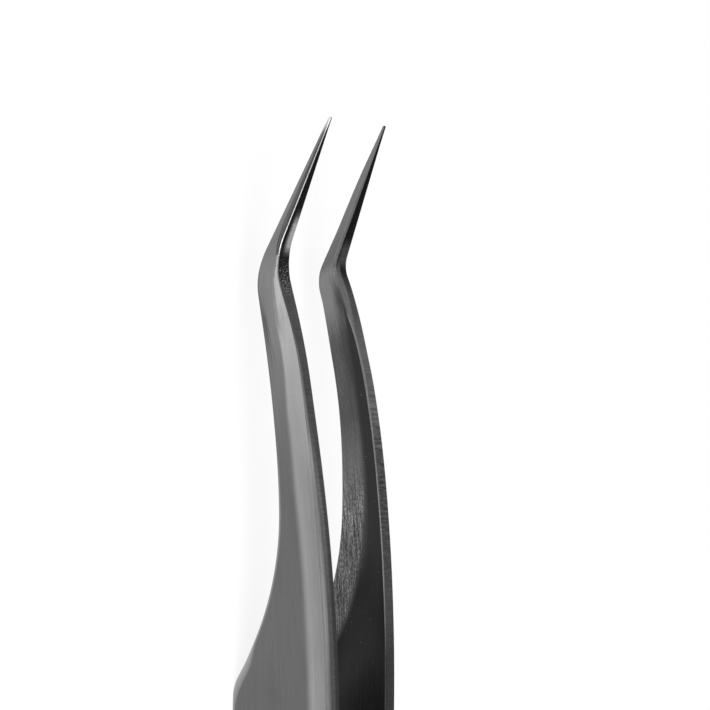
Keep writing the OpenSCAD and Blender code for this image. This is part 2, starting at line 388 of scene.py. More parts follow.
# ---------------------------------------------------------------------------
# The sideways bow of an arm
# ---------------------------------------------------------------------------
def turned(x, x0, x1, angle):
    if x < x0:
        return 0.0
    if x < x1:
        return tan_d(angle) * (x - x0) ** 2 / (2 * (x1 - x0))
    return tan_d(angle) * (x - (x0 + x1) / 2)


def bows(x):
    return (
        turned(x, TIP_X - HANDLE_BOW_START, TIP_X - HANDLE_BOW_END, -HANDLE_BOW_ANGLE)
        + turned(x, TIP_X - NECK_BOW_START, TIP_X - KNEE_FROM_TIPS, -NECK_BOW_ANGLE)
        + turned(
            x,
            TIP_X - KNEE_FROM_TIPS,
            TIP_X - KNEE_FROM_TIPS + KNEE_LENGTH,
            KNEE_ANGLE,
        )
    )


def opening(x):
    return turned(x, WELD_END_X, WELD_END_X + WELD_BLEND_LENGTH, 45)


OPENING_SLOPE = (TIP_GAP / 2 - bows(TIP_X)) / opening(TIP_X)


def inner_y(x):
    return OPENING_SLOPE * opening(x) + bows(x)


# ---------------------------------------------------------------------------
# The cross section
# ---------------------------------------------------------------------------
def upper_edge_thickness(u):
    if u < BEND_U:
        return TIP_THICKNESS + (KNEE_EDGE_THICKNESS - TIP_THICKNESS) * u / BEND_U
    if u < NECK_U:
        return blend(u, BEND_U, KNEE_EDGE_THICKNESS, NECK_U, NECK_EDGE_THICKNESS)
    return blend(u, NECK_U, NECK_EDGE_THICKNESS, EDGE_FULL_U, HANDLE_EDGE_THICKNESS)


def crescent(u):
    return bump(u, CORNER_FROM_TIPS - CRESCENT_FORWARD, CRESCENT_HALF_LENGTH)


def along_break(u, neck, handle):
    return min(1.0, u / BEND_U) * blend(
        u, LOWER_BREAK_U[0], neck, LOWER_BREAK_U[1], handle
    )


def lower_break_width(u):
    width = along_break(u, LOWER_BEVEL_WIDTH, HANDLE_LOWER_BEVEL_WIDTH)
    return width + CRESCENT_WIDTH * crescent(u) + LEAST_BREAK_WIDTH


def lower_break_depth(u):
    depth = along_break(u, LOWER_BEVEL_DEPTH, HANDLE_LOWER_BEVEL_DEPTH)
    return depth + CRESCENT_DEPTH * crescent(u)


def lower_edge_thickness(u):
    if u < BEND_U:
        return TIP_THICKNESS + (BEND_EDGE_THICKNESS - TIP_THICKNESS) * u / BEND_U
    handle = STRIP_THICKNESS - lower_break_depth(u)
    return blend(u, BEND_U, BEND_EDGE_THICKNESS, HANDLE_U, handle)


def bevel_width(u):
    if u < BEVEL_START_U:
        return LEAST_BEVEL_WIDTH
    if u < BEVEL_NECK_U:
        grown = min(1.0, (u - BEVEL_START_U) / (BEVEL_GROWN_U - BEVEL_START_U))
        extra = NECK_BEVEL_WIDTH - LEAST_BEVEL_WIDTH
        return LEAST_BEVEL_WIDTH + extra * grown**BEVEL_GROWTH
    return blend(u, BEVEL_NECK_U, NECK_BEVEL_WIDTH, BEVEL_FULL_U, HANDLE_BEVEL_WIDTH)


def bevel_depth(u):
    depth = max(LEAST_BEVEL_DEPTH, RIDGE_THICKNESS - upper_edge_thickness(u))
    return depth * ease((u - BEVEL_START_U) / BEVEL_START_LENGTH)


def facet_width(u, w):
    full = w - 2 * EDGE_BREAK
    if u < BEND_U + 1:
        return full
    if u < NECK_U:
        return min(full, blend(u, BEND_U + 1, full, NECK_U, NECK_FACET_WIDTH))
    left = 1 - ease((u - FACET_FADE_U) / (FACET_END_U - FACET_FADE_U))
    wide = blend(
        u, FACET_SPREAD_U[0], NECK_FACET_WIDTH, FACET_SPREAD_U[1], FACET_SPREAD_WIDTH
    )
    return min(full, wide * left + EDGE_BREAK * (1 - left))


def facet_depth(u):
    if u < BEND_U:
        rise = ease((u - FACET_START_U) / (BEND_U - FACET_START_U))
        d = TIP_FACET_DEPTH * u / BEND_U + (INNER_FACET_DEPTH - TIP_FACET_DEPTH) * rise
    elif u < NECK_U:
        d = blend(u, BEND_U, INNER_FACET_DEPTH, NECK_U, NECK_FACET_DEPTH)
    else:
        d = NECK_FACET_DEPTH * (1 - ease((u - NECK_U) / (FACET_FLAT_U - NECK_U)))
    return EDGE_BREAK + d


def tip_bevel(u):
    return min(1.0, max(0.0, (TIP_BEVEL_LENGTH - u) / TIP_BEVEL_GROWTH))


# sizes of the broken upper edges
OUTER_BREAK = 0.09
SOFT_OUTER_BREAK = 0.34
INNER_BREAK = 0.08
KNEE_INNER_BREAK = 0.3
NECK_INNER_BREAK = 0.13

# the most of an edge's thickness that a broken corner or the facet takes,
# which counts where the strip is thin, close to the tip
MOST_BREAK = 0.4
MOST_FACET = 0.6


def outer_break(u, side):
    """Size of the broken upper outer edge: crisp at the tip, soft on the left handle."""
    return blend(u, 20, OUTER_BREAK, 38, SOFT_OUTER_BREAK if side > 0 else OUTER_BREAK)


def inner_break(u, side):
    """Size of the broken upper inner edge, larger at the right arm's knee."""
    if side > 0:
        return INNER_BREAK
    knee = blend(u, 14, KNEE_INNER_BREAK, 18.5, NECK_INNER_BREAK)
    return blend(u, 20, knee, 30, INNER_BREAK)


def section(u_low, u_high, w, side):
    """The nine corners of a cross section as (s, h), anticlockwise."""
    u = (u_low + u_high) / 2
    te = upper_edge_thickness(u_high)
    tl = lower_edge_thickness(u_low)
    e = min(EDGE_BREAK, w / 6)
    e_in = min(inner_break(u, side), w / 5, te * MOST_BREAK)
    e_out = min(outer_break(u, side), w / 6, te * MOST_BREAK)
    lw = min(lower_break_width(u_low), w / 4)
    ld = lower_break_depth(u_low)
    tip = tip_bevel(u)
    tip_depth = TIP_BEVEL_DEPTH * min(1.0, u_high / TIP_BEVEL_LENGTH)
    bw = (1 - tip) * min(bevel_width(u_high), w / 2) + tip * w * TIP_BEVEL_SHARE
    bd = (1 - tip) * bevel_depth(u_high) + tip * tip_depth
    bw = max(bw, 2 * e_out)
    fw = min(facet_width(u_low, w), w - e - e_in)
    fd = min(facet_depth(u_low), tl * MOST_FACET)
    rise = bd * e_out / bw
    return [
        (w - e_in, 0.0),
        (w, e_in),
        (w, te - e_out),
        (w - e_out, te + rise),
        (w - bw, te + bd),
        (lw, tl + ld),
        (0.0, tl),
        (0.0, fd),
        (fw, 0.0),
    ]


# names of the corners of a section
INNER_A, INNER_B, OUTER_A, OUTER_B, RIDGE, LOW_BEVEL, LOW_OUT, LOW_IN, FACET = range(9)
# how many steps round each corner takes, and how many extra points each face
# gets between this corner and the next one
ROUND_STEPS = [3, 3, 3, 3, 6, 4, 3, 3, 5]
FACE_POINTS = [0, 6, 0, 3, 5, 0, 2, 5, 3]


# the most that a rounding takes of a face, and the face length from which a
# face has its full crown
ROUNDED_SHARE = 0.42
CROWNED_LENGTH = 0.6
UPPER_ROUNDING = 0.5
LOWER_ROUNDING = 0.12


def rounding(corner, u):
    """How far the rounding of a corner reaches along its faces, in mm."""
    if corner == RIDGE:
        return blend(u, 12, 0.04, 15, 0.1) + blend(u, 15, 0.0, 37, 0.25)
    if corner in (INNER_A, INNER_B, OUTER_A, OUTER_B):
        return UPPER_ROUNDING
    if corner == FACET:
        return blend(u, 22, 0.3, 30, 0.15) + blend(u, 34, 0.0, 40, 0.3)
    return LOWER_ROUNDING


def crown(face, u):
    """How far the middle of a face stands proud of its straight chord, in mm."""
    if face == RIDGE:
        return 0.02 + 0.03 * ease((u - 14) / 20)
    if face == OUTER_B:
        return 0.015
    if face == FACET:
        return -0.01
    return 0.004


def rounded(corners, u):
    """The section's outline, as rows of place, direction, two faces and a share.

    A row is (s, h, ts, th, before, after, share). Inside a corner's rounding the
    two faces differ, and the share leads from one to the other.
    """
    n = len(corners)
    cuts = []
    for i, c in enumerate(corners):
        before = corners[i - 1]
        after = corners[(i + 1) % n]
        la = math.dist(before, c)
        lb = math.dist(c, after)
        r = rounding(i, u)
        reach = min(r, ROUNDED_SHARE * la, ROUNDED_SHARE * lb)
        ta = ((c[0] - before[0]) / la, (c[1] - before[1]) / la)
        tb = ((after[0] - c[0]) / lb, (after[1] - c[1]) / lb)
        cuts.append(
            (
                (c[0] - ta[0] * reach, c[1] - ta[1] * reach),
                c,
                (c[0] + tb[0] * reach, c[1] + tb[1] * reach),
                ta,
                tb,
            )
        )
    rows = []
    for i in range(n):
        start, mid, end, ta, tb = cuts[i]
        k = ROUND_STEPS[i]
        for j in range(k + 1):
            t = j / k
            a, b, c = (1 - t) ** 2, 2 * t * (1 - t), t * t
            s = a * start[0] + b * mid[0] + c * end[0]
            h = a * start[1] + b * mid[1] + c * end[1]
            ts = (1 - t) * (mid[0] - start[0]) + t * (end[0] - mid[0])
            th = (1 - t) * (mid[1] - start[1]) + t * (end[1] - mid[1])
            size = math.hypot(ts, th) or 1.0
            rows.append((s, h, ts / size, th / size, (i - 1) % n, i, t))
        m = FACE_POINTS[i]
        nxt = cuts[(i + 1) % n][0]
        length = math.dist(end, nxt)
        rise = crown(i, u) * min(1.0, length / CROWNED_LENGTH)
        out = (tb[1], -tb[0])
        for j in range(1, m + 1):
            t = j / (m + 1)
            lift = rise * 4 * t * (1 - t)
            slope = rise * 4 * (1 - 2 * t) / max(length, 1e-6)
            s = end[0] + (nxt[0] - end[0]) * t + out[0] * lift
            h = end[1] + (nxt[1] - end[1]) * t + out[1] * lift
            ts = tb[0] + out[0] * slope
            th = tb[1] + out[1] * slope
            size = math.hypot(ts, th)
            rows.append((s, h, ts / size, th / size, i, i, t))
    return rows


def shrunk(rows, keep):
    """A section drawn in towards its middle by a share, for the two ends."""
    ms = sum(r[0] for r in rows) / len(rows)
    mh = sum(r[1] for r in rows) / len(rows)
    return [(ms + (r[0] - ms) * keep, mh + (r[1] - mh) * keep) + r[2:] for r in rows]


# ---------------------------------------------------------------------------
# The mesh of an arm
# ---------------------------------------------------------------------------
def stations(bend_r, knee_r):
    """Every cross section as (low, high, keep, shift), from the tail to the tip."""
    pairs = tail_pairs() + run_pairs(bend_r, knee_r)
    pairs += bend_pairs(bend_r, knee_r) + tip_pairs(bend_r, knee_r)
    rows = []
    first = pairs[0]
    for i in range(RIM_STEPS):
        a = 90.0 * i / RIM_STEPS
        keep = 1 - TAIL_ROUNDING * (1 - sin_d(a)) / HALF_TAIL_THICKNESS
        rows.append((first[0], first[1], keep, -TAIL_ROUNDING * cos_d(a)))
    rows += [(low, high, 1.0, 0.0) for low, high in pairs]
    last = pairs[-1]
    for i in range(1, NOSE_STEPS + 1):
        a = NOSE_TURN * i / NOSE_STEPS
        rows.append((last[0], last[1], cos_d(a), NOSE_LENGTH * sin_d(a)))
    return rows


def arm_mesh(name, bend_r, knee_r, side):
    """The mesh of an arm, its normals, and where each point lies on the arm."""
    rings, ring_u = [], []
    for low, high, keep, shift in stations(bend_r, knee_r):
        w = math.dist(low, high)
        direction = ((high[0] - low[0]) / w, (high[1] - low[1]) / w)
        u_low, u_high = TIP_X - low[0], TIP_X - high[0]
        rows = rounded(section(u_low, u_high, w, side), (u_low + u_high) / 2)
        if keep < 1:
            rows = shrunk(rows, keep)
        ring = []
        for s, h, ts, th, before, after, share in rows:
            x = low[0] + direction[0] * s
            z = low[1] + direction[1] * s
            slope = inner_y(x + SLOPE_STEP) - inner_y(x - SLOPE_STEP)
            slope /= 2 * SLOPE_STEP
            across = Vector(
                (direction[0] * ts, slope * direction[0] * ts + th, direction[1] * ts)
            )
            out = Vector((direction[0] * th, -ts, direction[1] * th))
            point = Vector((x + shift, inner_y(x) + h, z))
            ring.append((point, across, out, w - s, h, before, after, share))
        rings.append(ring)
        ring_u.append((u_low + u_high) / 2)

    n = len(rings[0])
    m = len(rings)
    verts, normals = [], []
    data = {"grain": [], "place": []}
    for i, ring in enumerate(rings):
        prev_ring = rings[max(0, i - 1)]
        next_ring = rings[min(m - 1, i + 1)]
        for j, (p, across, out, s, h, before, after, share) in enumerate(ring):
            along = next_ring[j][0] - prev_ring[j][0]
            normal = across.cross(along)
            if normal.length < 1e-9:
                normal = out.copy()
            if normal.dot(out) < 0:
                normal.negate()
            normal.normalize()
            if i == 0:
                normal = Vector((-1, 0, 0))
            verts.append((p.x * MM, side * p.y * MM, p.z * MM))
            normals.append((normal.x, side * normal.y, normal.z))
            data["grain"].append((s, h, TIP_X - p.x))
            data["place"].append((ring_u[i], before, after, share, side))

    faces = []
    for i in range(m - 1):
        for j in range(n):
            a, b = i * n + j, i * n + (j + 1) % n
            c, d = b + n, a + n
            faces.append((a, d, c, b) if side > 0 else (a, b, c, d))
    tail_cap = tuple(range(n))
    tip_cap = tuple((m - 1) * n + j for j in range(n))
    if side > 0:
        faces += [tail_cap, tuple(reversed(tip_cap))]
    else:
        faces += [tuple(reversed(tail_cap)), tip_cap]

    mesh = bpy.data.meshes.new(name)
    mesh.from_pydata(verts, [], faces)
    mesh.update()
    mesh.shade_smooth()
    return mesh, normals, data


# ---------------------------------------------------------------------------
# Zones of the surface, written as attributes for the material. The places in
# a blend are in mm back from the tips, each with the value that holds there,
# and t is the share of a face's width from its own corner to the next one.
# ---------------------------------------------------------------------------
ZONES = [
    # level: the metal's tone together with painted light and shade
    "level",  # how light the metal is
    "edge_face",  # fine lines across the narrow edges
    "ticks",  # coarse lines across the upper edge
    "facet_marks",  # furrows and dots of the ground inner facet
    "specks",  # rare light dots on the inner face
    "knee_side",  # sandy and darker, beside the bend
    "sparks",  # light grains beside the bend
    "streaky",  # strong streaks along the strip
    "smooth",  # how much of the brushing is polished away
    "matte",  # rougher; on the left arm's tip edge it also marks the patch of painted reflection
    "edge_highlight",  # painted highlight on the rounded corners, which are also a little smoother
]


def reflection_patch(u, t):
    """The patch of painted reflection on the inner part of the left arm's tip edge, which
    is also made rougher.
    """
    along = ease((u - PATCH_START) / 1.8) * (1 - ease((u - PATCH_END) / 1.1))
    return along * (1 - ease((t - 0.35) / 0.5))


def glint(u, t):
    """The light band past the knee, on the inner part of the right arm's edge."""
    wide = blend(u, 14.4, blend(u, 11.5, 0.1, 14.4, 0.28), 17.6, 0.02)
    along = ease(u - 10.6) * (1 - ease((u - 17) / 1.5))
    return along * (1 - ease((t - wide) / 0.28 + 0.5))


def ticks(u, side):
    """How strong the coarse grinding lines across the upper edge are."""
    return (1.0 if side < 0 else 0.25) * ease((u - 19) / 6) * (1 - ease((u - 35) / 6))


def outer_face(u, t, side):
    """The broad outer face, from the ridge down to the lower edge."""
    bend = blend(u, 9.5, TIP_FLAT, 13, BEND_FLAT)
    level = blend(u, 14, bend, 30, HANDLE_FLAT)
    level *= 1 - 0.35 * ease((t - 0.5) / 0.4) * bump(u, 16.8, 3.5)
    return {"level": level, "streaky": ease(t * 1.8 - 0.4) * bump(u, 18, 6.0)}


def upper_bevel(u, t, side):
    """The bevel between the upper edge and the ridge, painted lighter where it catches the
    lamps, with a painted gradient of light across it on the handle; on the tip a strip
    painted dark as shade, with a lighter painted band.
    """
    if u < TIP_BEVEL_LENGTH:
        lighter = 0.9 * bump(t, 0.6, 0.25) + 0.2 * ease((t - 0.35) / 0.3)
        level = TIP_STRIP * (1 + lighter * ease((u - 4) / 3))
        streaky = 0.5
    else:
        bevel = blend(u, 19, blend(u, 15, BEND_BEVEL, 19, NECK_BEVEL), 23, MIDDLE_BEVEL)
        shade = 1 + (0.24 * t - 0.14) * ease((u - 26) / 6)
        bevel = blend(u, 27, bevel, 31, HANDLE_BEVEL) * shade
        # beside the bend the painted light covers less of the bevel than its form, and the
        # rest takes the flat's tone
        share = blend(u, 12, 0.22, 14.6, 0.84) + 0.3 * ease((u - 15) / 7)
        level = bevel + (BEND_FLAT - bevel) * ease((t - share) / 0.1)
        streaky = 0.0
    smooth = ease((u - 24) / 8) if side > 0 else 0.0
    return {"level": level, "streaky": streaky, "smooth": smooth}


def outer_line(u, t, side):
    """The broken corner between the upper edge and the bevel, painted as a light line: the
    highlight along the corner, brightest at the bend.
    """
    line = blend(u, 9, blend(u, 2, TIP_LINE, 11, BEFORE_BEND_LINE), 11.5, BEND_LINE)
    line = blend(u, 13, line, 15.5, NECK_LINE)
    line = blend(u, 27, blend(u, 18, line, 22, MIDDLE_LINE), 32, HANDLE_LINE)
    return {
        "level": blend(u, 42, line, 48, REAR_LINE),
        "matte": 0.4 * ease((u - 24) / 8),
    }


def lower_break(u, t, side):
    """The broken lower outer corner, painted as a light line, with the crescent on the
    handle painted lighter towards its outer side.
    """
    line = blend(u, 16, BEND_BREAK, 24, NECK_BREAK)
    line = blend(u, 27, line, 31, HANDLE_BREAK)
    return {"level": blend(u, 38, line, 45, CRESCENT_BEVEL * (0.85 + 0.45 * t))}


def ground_facet(u, t, side):
    """The facet that is ground on the lower part of the inner face."""
    # on the handle the facet is painted darker towards the tail and towards its lower
    # edge, as shade
    worked = WORKED_FACET * (1 - 0.15 * ease((u - 33) / 2))
    worked *= 1 - 0.35 * (1 - t) * ease((u - 37) / 5)
    neck = blend(u, 24, NECK_FACET, 29, worked)
    tip = blend(u, 4.5, TIP_FACET, 10.5, SMOOTH_FACET)
    level = blend(u, 14.5, blend(u, 11.2, tip, 12.6, BEND_FACET), 18.5, neck)
    # it is painted darker towards the flat of the inner face, as shade
    shade = blend(u, 19, ease((u - 12.2) / 2.5) * 0.35, 28, 0.05)
    shade += 0.35 * bump(u, 15, 2.5)
    start = blend(u, 13.3, 0.68, 15.3, 0.45)
    level *= 1 - shade * ease((t - start) / (0.95 - start))
    marks = ease((u - 14) / 4) * (0.2 + 0.8 * ease((u - 28) / 5))
    return {"level": level, "facet_marks": marks}


def inner_face(u, t, side):
    """The flat of the inner face, painted dark as shade, darkest beside the ground facet;
    on the handle it is painted lighter towards the upper edge, against the rendered shade.
    """
    lower = 1 - 0.45 * ease((u - 34) / 6) - 0.18 * ease((u - 41) / 4)
    upper = blend(u, 41, 1 - 0.1 * ease((u - 34) / 6), 46, 2.1)
    even = lower * (upper / lower) ** t
    flat = blend(u, 36, INNER_FLAT, 50, HANDLE_INNER) * even
    # a few furrows of the facet run over its border
    border = 0.4 * (1 - ease(t / 0.1)) * ease((u - 24) / 6) * (1 - ease((u - 34) / 6))
    flat += (0.8 * WORKED_FACET - flat) * border
    bend = blend(u, 12.8, BEND_FACET, 13.8, BEND_FACET * 0.6)
    return {
        "level": blend(u, 13.4, bend, 16.2, flat),
        "facet_marks": border,
        "specks": ease((u - 16) / 4),
    }


def inner_line(u, t, side):
    """The broken corner between the inner face and the upper edge, painted as a light line
    along the neck, the highlight along the corner, and dark on the handle; on the right
    arm it is painted dark beside the bend and light at the knee, and takes the painted
    glint.
    """
    if side > 0:
        line = blend(u, 12.5, TIP_EDGE, 14.5, INNER_LINE)
    else:
        bend = blend(u, 10, TIP_EDGE, 11.4, FAR_BEND_LINE)
        knee = blend(u, 12.1, bend, 13.2, FAR_KNEE_LINE)
        line = blend(u, 15.8, blend(u, 13.6, knee, 14.4, FAR_DARK_LINE), 16.9, INNER_LINE)
        line += (FAR_GLINT - line) * t * glint(u, 0.0) * ease((u - 13.3) / 0.8)
    return {
        "level": blend(u, 34, line, 47, HANDLE_INNER_LINE),
        "ticks": 0.5 * ticks(u, side),
    }


def narrow_edge(u, t, side):
    """The upper and lower edges, dark and sandy beside the bend."""
    knee = blend(u, 11.4, TIP_EDGE, 12.2, KNEE_EDGE)
    if side > 0:
        edge = blend(u, 13.3, knee, 15.6, NECK_EDGE)
        level = blend(u, 30, edge, 42, HANDLE_EDGE)
    else:
        # the right arm's edge is painted lighter past the knee, with a patch of painted
        # light further back
        edge = blend(u, 16, blend(u, 12.8, knee, 15, NECK_EDGE), 19.5, FAR_EDGE)
        level = blend(u, 30, blend(u, 23, edge, 30, NECK_EDGE), 42, HANDLE_EDGE)
        level += FAR_REAR_LIGHT * bump(u, 40.5, 6)
    knee_side = ease((u - 11.9) / 0.5) * (1 - ease((u - 14.6) / 2.2))
    sparks = ease((u - 11.6) / 2.2) * (1 - ease((u - 14.4) / 1.9))
    return {
        "level": level,
        "edge_face": 1.0,
        "ticks": ticks(u, side),
        "knee_side": knee_side if side > 0 else 0.4 * knee_side,
        "sparks": sparks if side > 0 else 0.0,
    }


# the finish of the face that follows each corner of a section
FINISHES = {
    INNER_A: inner_line,
    INNER_B: narrow_edge,
    OUTER_A: outer_line,
    OUTER_B: upper_bevel,
    RIDGE: outer_face,
    LOW_BEVEL: lower_break,
    LOW_OUT: narrow_edge,
    LOW_IN: ground_facet,
    FACET: inner_face,
}


def face_values(face, u, side, t):
    """How one face is finished at u, at the share t of its width."""
    zone = dict.fromkeys(ZONES, 0.0)
    zone.update(FINISHES[face](u, t, side))
    # on the handle the left arm's upper edge is painted lighter towards its outer corner
    if side > 0 and face == INNER_B:
        zone["level"] *= 1 + 1.4 * ease((t - 0.5) / 0.5) * ease((u - 24) / 8)
    # the patch of painted reflection on the left arm's tip edge: lighter, and rougher
    # through matte
    if side > 0 and face in (INNER_A, INNER_B):
        zone["matte"] = reflection_patch(u, t if face == INNER_B else 0.0)
        zone["level"] += (PATCH_REFLECTION - zone["level"]) * zone["matte"]
    # on the right arm's edge a painted light patch and the painted glint past the knee
    if side < 0 and face == INNER_B:
        zone["level"] += FAR_PATCH_LEVEL * bump(u, FAR_PATCH_MIDDLE, 1.5)
        light = blend(u, 11, FAR_GLINT_START, 13, FAR_GLINT)
        zone["level"] += (light - zone["level"]) * glint(u, t)
    return zone


def corner_highlight(corner, u):
    """How strong the painted highlight on the rounding of a corner is."""
    if corner == RIDGE:
        return 0.5 * (1 - ease((u - 16) / 12)) if u > TIP_BEVEL_LENGTH else 0.0
    return 0.3 if corner in (LOW_BEVEL, LOW_OUT) else 0.0


def zone_values(u, before, after, share, side):
    """The zones at one point: those of its face, or a mix in a corner's rounding."""
    if before == after:
        zone = face_values(before, u, side, share)
    else:
        a = face_values(before, u, side, 1.0)
        b = face_values(after, u, side, 0.0)
        zone = {key: a[key] + (b[key] - a[key]) * ease(share) for key in ZONES}
        zone["edge_highlight"] = corner_highlight(after, u) * 4 * share * (1 - share)
    # the very end of the left arm's tip is painted light, a painted highlight
    if side > 0:
        zone["level"] += (TIP_END - zone["level"]) * (1 - ease(u / TIP_END_LENGTH))
    return zone


def build_arm(name, node, bend_r, knee_r, side, material):
    """The piece that replaces an arm: side is 1 for the left and -1 for the right."""
    mesh, normals, data = arm_mesh(name, bend_r, knee_r, side)
    columns = {zone: [] for zone in ZONES}
    for place in data["place"]:
        values = zone_values(*place)
        for zone in ZONES:
            columns[zone].append(values[zone])
    for zone in ZONES:
        layer = mesh.attributes.new(zone, "FLOAT", "POINT")
        layer.data.foreach_set("value", columns[zone])
    layer = mesh.attributes.new("grain", "FLOAT_VECTOR", "POINT")
    layer.data.foreach_set("vector", [c for row in data["grain"] for c in row])
    mesh.normals_split_custom_set_from_vertices(normals)
    mesh.materials.append(material)
    piece = bpy.data.objects.new(name, mesh)
    bpy.context.scene.collection.objects.link(piece)
    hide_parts(node)
    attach(piece, "root")
    return piece


# ---------------------------------------------------------------------------
# Materials
# ---------------------------------------------------------------------------
class Nodes:
    """A short way to write a node tree."""

    def __init__(self, tree):
        self.tree = tree
        tree.nodes.clear()

    def add(self, kind, **settings):
        node = self.tree.nodes.new(kind)
        for key, value in settings.items():
            setattr(node, key, value)
        return node

    def link(self, a, b):
        self.tree.links.new(a, b)

    def put(self, socket, value):
        if isinstance(value, bpy.types.NodeSocket):
            self.link(value, socket)
        else:
            socket.default_value = value

    def math(self, operation, a, b=0.0, clamp=False):
        node = self.add("ShaderNodeMath", operation=operation, use_clamp=clamp)
        self.put(node.inputs[0], a)
        self.put(node.inputs[1], b)
        return node.outputs[0]

    def zone(self, name):
        node = self.add("ShaderNodeAttribute", attribute_name=name)
        return node.outputs["Fac"]

    def vector(self, name):
        node = self.add("ShaderNodeAttribute", attribute_name=name)
        return node.outputs["Vector"]

    def noise(self, vector, scale, detail=3.0, rough=0.55):
        """Noise over a vector that is stretched by the three parts of scale."""
        mapping = self.add("ShaderNodeMapping")
        mapping.inputs["Scale"].default_value = scale
        self.link(vector, mapping.inputs["Vector"])
        node = self.add("ShaderNodeTexNoise")
        node.inputs["Scale"].default_value = 1.0
        node.inputs["Detail"].default_value = detail
        node.inputs["Roughness"].default_value = rough
        self.link(mapping.outputs["Vector"], node.inputs["Vector"])
        return node.outputs["Fac"]

    def ramp(self, value, low, high, out_low, out_high):
        node = self.add("ShaderNodeMapRange", clamp=True)
        for key, number in (
            ("From Min", low),
            ("From Max", high),
            ("To Min", out_low),
            ("To Max", out_high),
        ):
            node.inputs[key].default_value = number
        self.link(value, node.inputs["Value"])
        return node.outputs["Result"]

    def mix(self, factor, a, b):
        node = self.add("ShaderNodeMix", data_type="FLOAT")
        self.put(node.inputs["Factor"], factor)
        self.put(node.inputs["A"], a)
        self.put(node.inputs["B"], b)
        return node.outputs["Result"]


# the scale of each noise: how often it changes in a mm across the strip,
# through it and along it
STREAK_GRAIN = (9.0, 9.0, 0.22)
BROAD_GRAIN = (4.5, 4.5, 0.16)
FINE_GRAIN = (42.0, 42.0, 0.8)
CLOUD_GRAIN = (0.35, 0.35, 0.12)
CROSS_GRAIN = (0.6, 0.6, 11.0)
TICK_GRAIN = (0.6, 0.6, 4.5)
GOUGE_GRAIN = (10.0, 10.0, 4.0)
FURROW_GRAIN = (8.0, 8.0, 0.3)
SAND_GRAIN = (7.0, 8.0, 8.0)
DUST_GRAIN = (5.0, 5.0, 4.0)
KNEE_SHADE = 0.6
EDGE_HIGHLIGHT_GAIN = 1.5
BUMP_STRENGTH = 0.3
BUMP_DISTANCE = 0.00002


